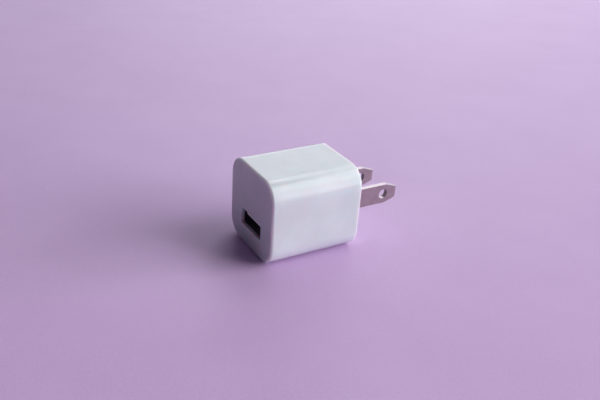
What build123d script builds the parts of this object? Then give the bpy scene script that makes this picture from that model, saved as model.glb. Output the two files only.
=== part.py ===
from build123d import *
from math import sqrt
import os

# USB wall charger: a small moulded cube with two fixed blades and one USB-A port.
# Origin: middle of the outlet face, between the blades. +X runs the way the blades point, +Z is up.
# All sizes are in millimetres.

# ------------------------------------------------------------------ case
body_length = 30.0            # port face to outlet face
body_width = 26.8
body_height = 26.8
corner_radius = 6.2           # the four long corners
front_edge_radius = 0.7       # round the port face
rim_edge_bevel = 0.35         # round the outlet end
side_wall = 1.8
front_wall = 1.6
rim_wall = 1.0                # wall left beside the end cap
cap_thickness = 2.2
cap_clearance = 0.08          # all round the end cap
boss_wall = 1.0               # plastic round each blade's root
boss_depth = 2.0              # bosses, inward from the cap

# ------------------------------------------------------------------ blades, NEMA 1-15
blade_pitch = 12.7
blade_length = 18.2
blade_width = 6.35
blade_thickness = 1.52
blade_hole = 3.175
blade_hole_reach = 13.1       # outlet face to the hole's centre
tip_length = 4.2              # tapered end of the blade
tip_cut = 1.5                 # taken off each edge at the very end
tip_bevel = 0.35
notch_length = 0.8            # notches that the cap's plastic fills
notch_depth = 0.7
tail_width = 3.6
tail_length = 2.7
strip_width = 1.8             # strips from the tails up to the input board
strip_thickness = 0.4
strip_pin_width = 1.0
rivet_diameter = 1.0
rivet_head_diameter = 1.9
rivet_head_height = 0.35
rivet_clearance = 0.05        # round the shank in the strip; its end is swaged tight in the tail

# ------------------------------------------------------------------ port and USB-A receptacle
port_drop = 4.6               # port's axis below the case's axis
port_width = 12.6
port_height = 5.3
port_corner_radius = 0.5
port_edge_bevel = 0.2
shell_pocket = 0.4            # recess in the front wall for the shell's mouth
shell_clearance = 0.1         # round the shell's mouth in its pocket
shell_inner_width = 12.5
shell_inner_height = 5.12
shell_corner_radius = 0.35    # inside
shell_thickness = 0.3
shell_length = 13.8
finger_width = 1.6            # spring fingers that hold the plug
finger_length = 5.0
finger_dip = 0.4
finger_slit = 0.35            # slit round each finger
finger_spacing = 6.4
finger_setback = 3.0          # shell's mouth to the finger's free end
leg_width = 1.2
leg_front_setback = 3.4       # shell's mouth to the front legs
leg_rear_setback = 2.4        # shell's rear to the rear legs
tongue_width = 11.1
tongue_thickness = 1.84
tongue_headroom = 0.68        # shell to the tongue's upper side
tongue_setback = 0.9          # shell's mouth to the tongue's tip
tongue_edge = 0.3             # bevel at the tongue's tip
block_length = 3.6            # block that closes the shell's rear
block_clearance = 0.05
contact_width = 1.0
contact_thickness = 0.25
contact_seat = 0.15           # depth of the grooves under the tongue
contact_setback = 0.9         # tongue's tip to the power contacts
contact_stagger = 1.0         # the data contacts start this much deeper
power_contact_offset = 3.5
data_contact_offset = 1.0
contact_tail_width = 0.6
contact_tail_gap = 0.3        # block to the upright tails

# ------------------------------------------------------------------ boards and how they are held
board_thickness = 1.0
board_corner = 0.8
board_side_clearance = 0.3
board_end_clearance = 0.15
head_room = 2.2               # above the input board
rail_thickness = 0.6
rail_grip = 0.5               # rails over the boards' edges
rail_clearance = 0.1
lead_diameter = 0.6           # across the corners
lead_sides = 8                # leads and their holes are eight-sided
lead_projection = 0.8         # leads past the far side of a board
hole_clearance = 0.15         # round a lead, pin or leg in its board
part_gap = 0.2                # body of a hanging part to its board
space = 0.5                   # between neighbouring parts

# ------------------------------------------------------------------ parts on the input board
bulk_diameter = 6.3
bulk_length = 10.0
bulk_lead_pitch = 2.5
bulk_lead_run = 0.9           # can to the upright part of its leads
can_edge_bevel = 0.5
can_groove_depth = 0.3
can_groove_width = 0.6
can_groove_height = 1.0
lead_bend = 0.5               # flat across the inside of a lead's bend
core_length = 9.0
core_depth = 4.4
core_height = 8.0
core_yoke = 1.2
core_side_leg = 1.2
core_centre_leg = 2.2
core_air_gap = 0.15
core_clearance = 0.1
bobbin_wall = 0.5
bobbin_flange = 0.6
bobbin_depth = 8.8
winding_margin = 0.35         # flange past the winding
winding_corner = 0.8
pin_size = 0.5
pin_pitch = 2.5
pin_embed = 0.8
resistor_diameter = 3.0
resistor_waist = 2.5
resistor_end_length = 1.2
resistor_length = 6.0
resistor_lead_run = 1.0
drum_diameter = 4.5
drum_height = 5.5
drum_flange = 0.7
drum_neck = 2.2
coil_margin = 0.25
drum_lead_pitch = 2.5
disc_diameter = 7.0
disc_thickness = 3.0
disc_bevel = 0.9
disc_lead_run = 1.2           # board to the disc

# ------------------------------------------------------------------ moulded packages and chips
package_standoff = 0.1
package_taper = 6             # degrees
package_lead_thickness = 0.2
package_lead_foot = 0.5
ic_length = 4.9
ic_width = 3.9
ic_height = 1.5
ic_pitch = 1.27
ic_lead_width = 0.4
ic_reach = 1.05               # leads past each side
transistor_length = 6.5
transistor_width = 3.5
transistor_height = 1.7
transistor_pitch = 2.3
transistor_lead_width = 0.75
transistor_reach = 1.75
diode_length = 1.6
diode_width = 2.7
diode_height = 1.15
diode_lead_width = 0.6
diode_reach = 0.5
output_diode_length = 2.6
output_diode_width = 4.3
output_diode_height = 2.1
output_diode_lead_width = 1.4
output_diode_reach = 0.45
chip_length = 2.0
chip_width = 1.25
chip_height = 0.5
capacitor_chip_height = 0.9
chip_terminal = 0.4
chip_terminal_skin = 0.04
chip_spacing = 2.2

# ------------------------------------------------------------------ parts on the output board
can_diameter = 5.0
can_height = 5.4
can_lead_pitch = 2.0
secondary_lead_diameter = 1.0
sheet_thickness = 0.25
sheet_overhang = 0.2

# ------------------------------------------------------------------ where things lie
cavity_width = body_width - 2 * side_wall
cavity_height = body_height - 2 * side_wall
cavity_radius = corner_radius - side_wall
cavity_front = front_wall - body_length
cap_inner = -cap_thickness
boss_inner = cap_inner - boss_depth
tail_end = boss_inner - tail_length
tail_middle = (boss_inner + tail_end) / 2

port_z = -port_drop
shell_width = shell_inner_width + 2 * shell_thickness
shell_height = shell_inner_height + 2 * shell_thickness
shell_front = cavity_front - shell_pocket + shell_clearance
shell_rear = shell_front + shell_length
tongue_tip = shell_front + tongue_setback
tongue_top = port_z + shell_inner_height / 2 - tongue_headroom
tongue_bottom = tongue_top - tongue_thickness
block_front = shell_rear - block_length
contact_tail_x = shell_rear + contact_tail_gap + contact_thickness / 2

output_top = port_z - shell_height / 2
output_bottom = output_top - board_thickness
input_top = cavity_height / 2 - head_room
input_bottom = input_top - board_thickness
board_front = cavity_front + board_end_clearance
board_rear = cap_inner - board_end_clearance


def half_width_at(height):
    """Half the cavity's width at a height, inside its rounded corners."""
    rise = max(0.0, abs(height) - (cavity_height / 2 - cavity_radius))
    return cavity_width / 2 - cavity_radius + sqrt(cavity_radius**2 - rise**2)


output_half = half_width_at(output_bottom) - board_side_clearance
input_half = half_width_at(input_top) - board_side_clearance
output_rail = output_half - rail_grip
input_rail = input_half - rail_grip

bulk_front = cavity_front + space
bulk_rear = bulk_front + bulk_length
bulk_y = (bulk_diameter + space) / 2
bulk_z = input_bottom - part_gap - bulk_diameter / 2
bulk_lead_x = bulk_rear + bulk_lead_run

core_front = bulk_lead_x + lead_diameter / 2 + space
core_x = core_front + core_length / 2
core_top = input_bottom - core_clearance
core_bottom = core_top - core_height
bobbin_top = core_top - core_yoke - core_clearance
bobbin_bottom = core_bottom + core_yoke + core_clearance
bobbin_length = core_length - 2 * core_side_leg - 2 * core_clearance
pin_row_y = (core_depth / 2 + core_clearance + bobbin_depth / 2) / 2

input_side_y = (bobbin_depth / 2 + input_rail) / 2
output_side_y = (bobbin_depth / 2 + output_rail) / 2
resistor_z = input_bottom - part_gap - resistor_diameter / 2
resistor_lead_reach = resistor_length / 2 + resistor_lead_run
drum_top = input_bottom - part_gap
disc_x = (bulk_front + bulk_rear) / 2
disc_y = bulk_y + bulk_diameter / 2 + space + disc_thickness / 2
disc_z = input_bottom - disc_lead_run - disc_diameter / 2
can_x = shell_rear + contact_tail_gap + space + can_diameter / 2
output_diode_x = contact_tail_x + space + output_diode_width / 2 + output_diode_reach
strip_y = (blade_pitch + blade_thickness + strip_thickness) / 2
transistor_y = -(space / 2 + transistor_width / 2 + transistor_reach)
ic_y = space / 2 + ic_width / 2 + ic_reach
rear_chip_x = board_rear - space - chip_length / 2
leg_xs = (shell_front + leg_front_setback, shell_rear - leg_rear_setback)
leg_y = (shell_width - shell_thickness) / 2
contact_offsets = (-power_contact_offset, -data_contact_offset, data_contact_offset, power_contact_offset)

os.makedirs("parts", exist_ok=True)


def save(piece, name):
    """Name a finished piece and write its file."""
    piece.label = name
    export_step(piece, f"parts/{name}.step")


# ================================================================== housing
with BuildPart() as housing:
    with BuildSketch(Plane.YZ.offset(-body_length)):
        RectangleRounded(body_width, body_height, corner_radius)
    extrude(amount=body_length)
    fillet(housing.faces().sort_by(Axis.X)[0].edges(), radius=front_edge_radius)
    chamfer(housing.faces().sort_by(Axis.X)[-1].edges(), length=rim_edge_bevel)
    # Cavity: the guide rails of both boards stay standing on its side walls.
    with BuildSketch(Plane.YZ.offset(cavity_front)):
        RectangleRounded(cavity_width, cavity_height, cavity_radius)
        for face_z, away, rail in (
            (output_bottom, -1, output_rail),
            (output_top, 1, output_rail),
            (input_bottom, -1, input_rail),
            (input_top, 1, input_rail),
        ):
            rail_z = face_z + away * (rail_clearance + rail_thickness / 2)
            rail_depth = cavity_width / 2 - rail
            with Locations((rail + rail_depth / 2, rail_z), (-rail - rail_depth / 2, rail_z)):
                Rectangle(rail_depth, rail_thickness, mode=Mode.SUBTRACT)
    extrude(amount=cap_inner - cavity_front, mode=Mode.SUBTRACT)
    # Rebate for the end cap.
    with BuildSketch(Plane.YZ.offset(cap_inner)):
        RectangleRounded(body_width - 2 * rim_wall, body_height - 2 * rim_wall, corner_radius - rim_wall)
    extrude(amount=cap_thickness, mode=Mode.SUBTRACT)
    # Port, with a pocket behind it for the receptacle's mouth.
    with BuildSketch(Plane.YZ.offset(-body_length)):
        with Locations((0, port_z)):
            RectangleRounded(port_width, port_height, port_corner_radius)
    extrude(amount=front_wall, mode=Mode.SUBTRACT)
    chamfer(housing.faces().sort_by(Axis.X)[0].inner_wires().edges(), length=port_edge_bevel)
    with BuildSketch(Plane.YZ.offset(cavity_front)):
        with Locations((0, port_z)):
            Rectangle(shell_width + 2 * shell_clearance, shell_height + 2 * shell_clearance)
    extrude(amount=-shell_pocket, mode=Mode.SUBTRACT)
save(housing.part, "housing")

# ================================================================== blades
blades = []
for name, blade_y in (("line_blade", -blade_pitch / 2), ("neutral_blade", blade_pitch / 2)):
    with BuildPart() as blade:
        with BuildSketch(Plane.XZ.offset(-blade_y)):
            with BuildLine():
                Polyline(
                    (tail_end, 0),
                    (tail_end, tail_width / 2),
                    (boss_inner, tail_width / 2),
                    (boss_inner, blade_width / 2),
                    (blade_length - tip_length, blade_width / 2),
                    (blade_length, blade_width / 2 - tip_cut),
                    (blade_length, 0),
                )
                mirror(about=Plane.XZ)
            make_face()
            with Locations((blade_hole_reach, 0)):
                Circle(blade_hole / 2, mode=Mode.SUBTRACT)
            with Locations((tail_middle, 0)):
                Circle(rivet_diameter / 2, mode=Mode.SUBTRACT)
            with Locations((cap_inner, 0)):
                with GridLocations(0, blade_width - notch_depth, 1, 2):
                    Rectangle(notch_length, notch_depth, mode=Mode.SUBTRACT)
        extrude(amount=blade_thickness / 2, both=True)
        chamfer(blade.edges().filter_by(Axis.Z).group_by(Axis.X)[-1], length=tip_bevel)
    save(blade.part, name)
    blades.append(blade.part)

# ================================================================== end cap, moulded round the blades
with BuildPart() as end_cap:
    with BuildSketch(Plane.YZ.offset(cap_inner)):
        rim_inset = 2 * (rim_wall + cap_clearance)
        RectangleRounded(body_width - rim_inset, body_height - rim_inset, corner_radius - rim_inset / 2)
    extrude(amount=cap_thickness)
    with BuildSketch(Plane.YZ.offset(boss_inner)):
        with Locations((-blade_pitch / 2, 0), (blade_pitch / 2, 0)):
            RectangleRounded(blade_thickness + 2 * boss_wall, blade_width + 2 * boss_wall, boss_wall)
    extrude(amount=boss_depth)
    for blade_part in blades:
        add(blade_part, mode=Mode.SUBTRACT)
save(end_cap.part, "end_cap")

# ================================================================== strips from the tails to the board
for name, side in (("line_strip", -1), ("neutral_strip", 1)):
    with BuildPart() as strip:
        with BuildSketch(Plane.XZ.offset(-side * strip_y)):
            with Locations((tail_middle, -tail_width / 2)):
                strip_height = input_bottom - part_gap + tail_width / 2
                Rectangle(strip_width, strip_height, align=(Align.CENTER, Align.MIN))
            with Locations((tail_middle, 0)):
                pin_top = input_top + lead_projection
                Rectangle(strip_pin_width, pin_top, align=(Align.CENTER, Align.MIN))
                Circle(rivet_diameter / 2 + rivet_clearance, mode=Mode.SUBTRACT)
        extrude(amount=strip_thickness / 2, both=True)
    save(strip.part, name)

rivet_outer = strip_y + strip_thickness / 2
rivet_inner = (blade_pitch - blade_thickness) / 2
with BuildPart() as strip_rivets:
    for side in (-1, 1):
        with BuildSketch(Plane.XZ.offset(-side * rivet_inner)):
            with Locations((tail_middle, 0)):
                Circle(rivet_diameter / 2)
        extrude(amount=-side * (rivet_outer - rivet_inner))
        with BuildSketch(Plane.XZ.offset(-side * rivet_outer)):
            with Locations((tail_middle, 0)):
                Circle(rivet_head_diameter / 2)
        extrude(amount=-side * rivet_head_height)
save(strip_rivets.part, "strip_rivets")

# ================================================================== USB-A receptacle: shell
with BuildPart() as receptacle_shell:
    with BuildSketch(Plane.YZ.offset(shell_front)):
        with Locations((0, port_z)):
            RectangleRounded(shell_width, shell_height, shell_corner_radius + shell_thickness)
            RectangleRounded(shell_inner_width, shell_inner_height, shell_corner_radius, mode=Mode.SUBTRACT)
    extrude(amount=shell_length)
    # Windows for the spring fingers, above and below.
    finger_tip = shell_front + finger_setback
    finger_root = finger_tip + finger_length
    with BuildSketch(Plane.XY.offset(port_z)):
        window_length = finger_length + finger_slit
        with Locations((finger_root - window_length / 2, 0)):
            with GridLocations(0, finger_spacing, 1, 2):
                Rectangle(window_length, finger_width + 2 * finger_slit)
    extrude(amount=shell_height / 2, both=True, mode=Mode.SUBTRACT)
    # Fingers, rooted at the rear of each window and bent into the shell.
    for side in (-1, 1):
        for wall in (-1, 1):
            outer_z = port_z + wall * shell_height / 2
            inner_z = outer_z - wall * shell_thickness
            with BuildSketch(Plane.XZ.offset(-side * finger_spacing / 2)):
                with BuildLine():
                    Polyline(
                        (finger_root, outer_z),
                        (finger_tip + finger_length / 4, outer_z - wall * finger_dip),
                        (finger_tip, outer_z - wall * finger_dip / 2),
                        (finger_tip, inner_z - wall * finger_dip / 2),
                        (finger_tip + finger_length / 4, inner_z - wall * finger_dip),
                        (finger_root, inner_z),
                        close=True,
                    )
                make_face()
            extrude(amount=finger_width / 2, both=True)
    # Legs down through the output board.
    with BuildSketch(Plane.XY.offset(port_z)):
        for leg_x in leg_xs:
            with Locations((leg_x, -leg_y), (leg_x, leg_y)):
                Rectangle(leg_width, shell_thickness)
    extrude(amount=output_bottom - lead_projection - port_z)
save(receptacle_shell.part, "receptacle_shell")

# ================================================================== USB-A receptacle: contacts
contacts = []
for number, contact_y in enumerate(contact_offsets, start=1):
    deeper = contact_stagger if abs(contact_y) == data_contact_offset else 0
    contact_z = tongue_bottom + contact_seat - contact_thickness / 2
    with BuildPart() as contact:
        with BuildSketch(Plane.XZ.offset(-contact_y)):
            with BuildLine():
                FilletPolyline(
                    (tongue_tip + contact_setback + deeper, contact_z),
                    (contact_tail_x, contact_z),
                    (contact_tail_x, output_top + contact_thickness),
                    radius=contact_tail_gap,
                )
            trace(line_width=contact_thickness)
        extrude(amount=contact_width / 2, both=True)
        with BuildSketch(Plane.XY.offset(output_bottom - lead_projection)):
            with Locations((contact_tail_x, contact_y)):
                Rectangle(contact_thickness, contact_tail_width)
        extrude(amount=board_thickness + lead_projection + contact_thickness)
    save(contact.part, f"receptacle_contact_{number}")
    contacts.append(contact.part)

# ================================================================== USB-A receptacle: tongue and block
with BuildPart() as receptacle_insulator:
    with BuildSketch(Plane.YZ.offset(block_front)):
        with Locations((0, port_z)):
            Rectangle(shell_inner_width - 2 * block_clearance, shell_inner_height - 2 * block_clearance)
    extrude(amount=block_length)
    chamfer(receptacle_insulator.edges().filter_by(Axis.X), length=shell_corner_radius)
    with BuildSketch(Plane.YZ.offset(tongue_tip)):
        with Locations((0, tongue_top)):
            Rectangle(tongue_width, tongue_thickness, align=(Align.CENTER, Align.MAX))
    extrude(amount=block_front - tongue_tip)
    chamfer(receptacle_insulator.faces().sort_by(Axis.X)[0].edges(), length=tongue_edge)
    for contact_part in contacts:
        add(contact_part, mode=Mode.SUBTRACT)
save(receptacle_insulator.part, "receptacle_insulator")

# ================================================================== boards
corners = [(end, side) for end in (-1, 1) for side in (-1, 1)]
bulk_points = [(bulk_lead_x, side * bulk_y + end * bulk_lead_pitch / 2) for end, side in corners]
pin_points = [(core_x + step * pin_pitch, side * pin_row_y) for step in (-1, 0, 1) for side in (-1, 1)]
resistor_points = [(core_x + end * resistor_lead_reach, -input_side_y) for end in (-1, 1)]
drum_points = [(core_x + end * drum_lead_pitch / 2, input_side_y) for end in (-1, 1)]
can_points = [(can_x + end * can_lead_pitch / 2, side * output_side_y) for end, side in corners]
secondary_points = [(core_x, side * pin_row_y) for side in (-1, 1)]
lead_hole = lead_diameter / 2 + hole_clearance

with BuildPart() as input_board:
    with BuildSketch(Plane.XY.offset(input_bottom)) as input_outline:
        with Locations(((board_front + board_rear) / 2, 0)):
            Rectangle(board_rear - board_front, 2 * input_half)
        chamfer(input_outline.vertices(), length=board_corner)
        with Locations(*bulk_points, *resistor_points, *drum_points, (disc_x, disc_y)):
            RegularPolygon(lead_hole, lead_sides, mode=Mode.SUBTRACT)
        with Locations(*pin_points):
            RegularPolygon(pin_size / sqrt(2) + 2 * hole_clearance, lead_sides, mode=Mode.SUBTRACT)
        with Locations((tail_middle, -strip_y), (tail_middle, strip_y)):
            slot_length = strip_pin_width + 2 * hole_clearance
            Rectangle(slot_length, strip_thickness + 2 * hole_clearance, mode=Mode.SUBTRACT)
    extrude(amount=board_thickness)
save(input_board.part, "input_board")

with BuildPart() as output_board:
    with BuildSketch(Plane.XY.offset(output_bottom)) as output_outline:
        with Locations(((board_front + board_rear) / 2, 0)):
            Rectangle(board_rear - board_front, 2 * output_half)
        chamfer(output_outline.vertices(), length=board_corner)
        with Locations(*can_points, (disc_x, disc_y)):
            RegularPolygon(lead_hole, lead_sides, mode=Mode.SUBTRACT)
        with Locations(*secondary_points):
            RegularPolygon(secondary_lead_diameter / 2 + hole_clearance, lead_sides, mode=Mode.SUBTRACT)
        with Locations(*[(contact_tail_x, y) for y in contact_offsets]):
            RegularPolygon(contact_tail_width / 2 + 2 * hole_clearance, lead_sides, mode=Mode.SUBTRACT)
        with Locations(*[(x, side * leg_y) for x in leg_xs for side in (-1, 1)]):
            slot_length = leg_width + 2 * hole_clearance
            Rectangle(slot_length, shell_thickness + 2 * hole_clearance, mode=Mode.SUBTRACT)
    extrude(amount=board_thickness)
save(output_board.part, "output_board")

# ================================================================== transformer
with BuildPart() as transformer_bobbin:
    with BuildSketch(Plane.XY.offset(bobbin_bottom)):
        with Locations((core_x, 0)):
            Rectangle(
                core_centre_leg + 2 * (core_clearance + bobbin_wall),
                core_depth + 2 * (core_clearance + bobbin_wall),
            )
    extrude(amount=bobbin_top - bobbin_bottom)
    with BuildSketch(Plane.XY.offset(bobbin_bottom), Plane.XY.offset(bobbin_top - bobbin_flange)):
        with Locations((core_x, 0)):
            Rectangle(bobbin_length, bobbin_depth)
    extrude(amount=bobbin_flange)
    with BuildSketch(Plane.XY.offset(bobbin_bottom)):
        with Locations((core_x, 0)):
            Rectangle(core_centre_leg + 2 * core_clearance, core_depth + 2 * core_clearance)
    extrude(amount=bobbin_top - bobbin_bottom, mode=Mode.SUBTRACT)
    # Rails that stand the bobbin off the board and hold its pins.
    rail_start = core_depth / 2 + core_clearance
    with BuildSketch(Plane.XY.offset(bobbin_top)):
        with Locations((core_x, pin_row_y), (core_x, -pin_row_y)):
            Rectangle(bobbin_length, bobbin_depth / 2 - rail_start)
    extrude(amount=core_top - bobbin_top)
    with BuildSketch(Plane.XY.offset(core_top - pin_embed)):
        with Locations(*pin_points):
            Rectangle(pin_size, pin_size)
    extrude(amount=pin_embed, mode=Mode.SUBTRACT)
save(transformer_bobbin.part, "transformer_bobbin")

with BuildPart() as transformer_pins:
    with BuildSketch(Plane.XY.offset(core_top - pin_embed)):
        with Locations(*pin_points):
            Rectangle(pin_size, pin_size)
    extrude(amount=input_top + lead_projection - core_top + pin_embed)
save(transformer_pins.part, "transformer_pins")

with BuildPart() as transformer_winding:
    with BuildSketch(Plane.XY.offset(bobbin_bottom + bobbin_flange)):
        with Locations((core_x, 0)):
            winding_length = bobbin_length - 2 * winding_margin
            winding_depth = bobbin_depth - 2 * winding_margin
            RectangleRounded(winding_length, winding_depth, winding_corner)
            Rectangle(
                core_centre_leg + 2 * (core_clearance + bobbin_wall),
                core_depth + 2 * (core_clearance + bobbin_wall),
                mode=Mode.SUBTRACT,
            )
    extrude(amount=bobbin_top - bobbin_bottom - 2 * bobbin_flange)
save(transformer_winding.part, "transformer_winding")

core_middle = (core_top + core_bottom) / 2
for name, outer_z, inward in (("core_upper", core_top, -1), ("core_lower", core_bottom, 1)):
    with BuildPart() as core_half:
        with BuildSketch(Plane.XZ):
            with Locations((core_x, (outer_z + core_middle) / 2)):
                Rectangle(core_length, core_height / 2)
            leg_top = outer_z + inward * core_yoke
            window = core_length / 2 - core_side_leg - core_centre_leg / 2
            with Locations((core_x, (leg_top + core_middle) / 2)):
                with GridLocations(core_centre_leg + window, 0, 2, 1):
                    Rectangle(window, core_height / 2 - core_yoke, mode=Mode.SUBTRACT)
            with Locations((core_x, core_middle - inward * core_air_gap / 4)):
                Rectangle(core_centre_leg, core_air_gap / 2, mode=Mode.SUBTRACT)
        extrude(amount=core_depth / 2, both=True)
    save(core_half.part, name)

with BuildPart() as secondary_leads:
    with BuildSketch(Plane.XY.offset(output_bottom - lead_projection)):
        with Locations(*secondary_points):
            RegularPolygon(secondary_lead_diameter / 2, lead_sides)
    extrude(amount=bobbin_bottom - output_bottom + lead_projection)
save(secondary_leads.part, "secondary_leads")

# ================================================================== capacitors in cans
def can_body(base, diameter, length):
    """A plain can: base is the plane of its lead end, with the can on its +Z side."""
    with BuildPart() as can:
        with BuildSketch(base):
            Circle(diameter / 2)
        extrude(amount=length)
        chamfer(can.edges().sort_by(Axis(base.origin, base.z_dir))[-1], length=can_edge_bevel)
    return can.part


for number, side in ((1, -1), (2, 1)):
    lead_end = Plane((bulk_rear, side * bulk_y, bulk_z), z_dir=(-1, 0, 0))
    can = can_body(lead_end, bulk_diameter, bulk_length)
    with BuildPart() as bulk_capacitor:
        add(can)
        # Rolled groove that grips the can's rubber seal.
        with BuildSketch(lead_end.offset(can_groove_height)):
            Circle(bulk_diameter / 2)
            Circle(bulk_diameter / 2 - can_groove_depth, mode=Mode.SUBTRACT)
        extrude(amount=can_groove_width, mode=Mode.SUBTRACT)
        for end in (-1, 1):
            lead_y = side * bulk_y + end * bulk_lead_pitch / 2
            with BuildLine(Plane.XZ.offset(-lead_y)) as lead_path:
                Polyline(
                    (bulk_rear, bulk_z),
                    (bulk_lead_x - lead_bend, bulk_z),
                    (bulk_lead_x, bulk_z + lead_bend),
                    (bulk_lead_x, input_top + lead_projection),
                )
            with BuildSketch(Plane((bulk_rear, lead_y, bulk_z), z_dir=(1, 0, 0))):
                RegularPolygon(lead_diameter / 2, lead_sides)
            sweep(path=lead_path.line, transition=Transition.RIGHT)
    save(bulk_capacitor.part, f"bulk_capacitor_{number}")

for number, side in ((1, -1), (2, 1)):
    can = can_body(Plane((can_x, side * output_side_y, output_top)), can_diameter, can_height)
    with BuildPart() as output_capacitor:
        add(can)
        with BuildSketch(Plane.XY.offset(output_bottom - lead_projection)):
            with Locations(*[(x, y) for x, y in can_points if y * side > 0]):
                RegularPolygon(lead_diameter / 2, lead_sides)
        extrude(amount=board_thickness + lead_projection)
    save(output_capacitor.part, f"output_capacitor_{number}")

# ================================================================== fusible resistor
with BuildPart() as fusible_resistor:
    resistor_axis = Axis((core_x, -input_side_y, resistor_z), (1, 0, 0))
    with BuildSketch(Plane.XZ.offset(input_side_y)):
        with BuildLine():
            Polyline(
                (core_x, resistor_z),
                (core_x, resistor_z + resistor_waist / 2),
                (core_x + resistor_length / 2 - resistor_end_length, resistor_z + resistor_waist / 2),
                (core_x + resistor_length / 2 - resistor_end_length, resistor_z + resistor_diameter / 2),
                (core_x + resistor_length / 2, resistor_z + resistor_diameter / 2),
                (core_x + resistor_length / 2, resistor_z),
                close=True,
            )
        make_face()
    revolve(axis=resistor_axis)
    mirror(about=Plane.YZ.offset(core_x))
    for end in (-1, 1):
        with BuildLine(Plane.XZ.offset(input_side_y)) as lead_path:
            Polyline(
                (core_x + end * resistor_length / 2, resistor_z),
                (core_x + end * (resistor_lead_reach - lead_bend), resistor_z),
                (core_x + end * resistor_lead_reach, resistor_z + lead_bend),
                (core_x + end * resistor_lead_reach, input_top + lead_projection),
            )
        body_end = (core_x + end * resistor_length / 2, -input_side_y, resistor_z)
        with BuildSketch(Plane(body_end, z_dir=(end, 0, 0))):
            RegularPolygon(lead_diameter / 2, lead_sides)
        sweep(path=lead_path.line, transition=Transition.RIGHT)
save(fusible_resistor.part, "fusible_resistor")

# ================================================================== filter inductor: drum core and coil
drum_plane = Plane((core_x, input_side_y, drum_top), z_dir=(0, 0, -1))
with BuildPart() as inductor_core:
    with BuildSketch(drum_plane):
        Circle(drum_neck / 2)
    extrude(amount=drum_height)
    with BuildSketch(drum_plane, drum_plane.offset(drum_height - drum_flange)):
        Circle(drum_diameter / 2)
    extrude(amount=drum_flange)
    with BuildSketch(Plane.XY.offset(drum_top)):
        with Locations(*drum_points):
            RegularPolygon(lead_diameter / 2, lead_sides)
    extrude(amount=input_top + lead_projection - drum_top)
save(inductor_core.part, "inductor_core")

with BuildPart() as inductor_coil:
    with BuildSketch(drum_plane.offset(drum_flange)):
        Circle(drum_diameter / 2 - coil_margin)
        Circle(drum_neck / 2, mode=Mode.SUBTRACT)
    extrude(amount=drum_height - 2 * drum_flange)
save(inductor_coil.part, "inductor_coil")

# ================================================================== safety capacitor between the boards
with BuildPart() as safety_capacitor:
    with BuildSketch(Plane.XZ.offset(-disc_y)):
        with Locations((disc_x, disc_z)):
            Circle(disc_diameter / 2)
    extrude(amount=disc_thickness / 2, both=True)
    chamfer(safety_capacitor.edges().filter_by(GeomType.CIRCLE), length=disc_bevel)
    with BuildSketch(Plane.XY.offset(output_bottom - lead_projection)):
        with Locations((disc_x, disc_y)):
            RegularPolygon(lead_diameter / 2, lead_sides)
    extrude(amount=input_top - output_bottom + 2 * lead_projection)
save(safety_capacitor.part, "safety_capacitor")


# ================================================================== packages with bent leads
def package(seat, length, width, height, lead_xs, lead_width, reach):
    """A moulded package: its body lies along the seat's x, its leads leave both sides in y."""
    knee = width / 2 + (reach - package_lead_foot) / 2
    with BuildPart() as moulding:
        with BuildSketch(seat.offset(package_standoff)):
            Rectangle(length, width)
        extrude(amount=height - package_standoff, taper=package_taper)
        for lead_x in lead_xs:
            lead_foot = seat.from_local_coords((lead_x, 0, 0))
            with BuildSketch(Plane(lead_foot, x_dir=seat.y_dir, z_dir=seat.x_dir)):
                with BuildLine():
                    Polyline(
                        (width / 2 + reach, package_lead_thickness / 2),
                        (width / 2 + reach - package_lead_foot, package_lead_thickness / 2),
                        (knee, height / 2),
                        (-knee, height / 2),
                        (-width / 2 - reach + package_lead_foot, package_lead_thickness / 2),
                        (-width / 2 - reach, package_lead_thickness / 2),
                    )
                trace(line_width=package_lead_thickness)
            extrude(amount=lead_width / 2, both=True)
    return moulding.part


def seat_on(face_z, x, y, along=(1, 0, 0), up=(0, 0, 1)):
    """A plane on a board's face for a surface-mounted part."""
    return Plane((x, y, face_z), x_dir=along, z_dir=up)


ic_leads = [step * ic_pitch for step in (-1.5, -0.5, 0.5, 1.5)]
transistor_leads = [step * transistor_pitch for step in (-1, 0, 1)]
save(
    package(
        seat_on(input_top, disc_x, ic_y),
        ic_length,
        ic_width,
        ic_height,
        ic_leads,
        ic_lead_width,
        ic_reach,
    ),
    "control_ic",
)
save(
    package(
        seat_on(input_top, disc_x, transistor_y),
        transistor_length,
        transistor_width,
        transistor_height,
        transistor_leads,
        transistor_lead_width,
        transistor_reach,
    ),
    "power_transistor",
)
diode_seat_x = diode_width / 2 + diode_reach + space / 2
diode_seat_y = diode_length / 2 + space / 4
for number, (end, side) in enumerate(corners, start=1):
    diode_seat = seat_on(input_top, core_x + end * diode_seat_x, side * diode_seat_y, along=(0, 1, 0))
    save(
        package(diode_seat, diode_length, diode_width, diode_height, [0], diode_lead_width, diode_reach),
        f"rectifier_diode_{number}",
    )
save(
    package(
        seat_on(output_top, output_diode_x, 0, along=(0, 1, 0)),
        output_diode_length,
        output_diode_width,
        output_diode_height,
        [0],
        output_diode_lead_width,
        output_diode_reach,
    ),
    "output_diode",
)


# ================================================================== chips
def chips(seat, count, height):
    """A row of ceramic chips across the seat, with a metal terminal round each end."""
    with BuildPart() as row:
        with BuildSketch(seat.offset(chip_terminal_skin)):
            with GridLocations(0, chip_spacing, 1, count):
                Rectangle(chip_length - 2 * chip_terminal, chip_width)
        extrude(amount=height)
        with BuildSketch(seat):
            with GridLocations(chip_length - chip_terminal, chip_spacing, 2, count):
                Rectangle(chip_terminal, chip_width + 2 * chip_terminal_skin)
        extrude(amount=height + 2 * chip_terminal_skin)
    return row.part


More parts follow.
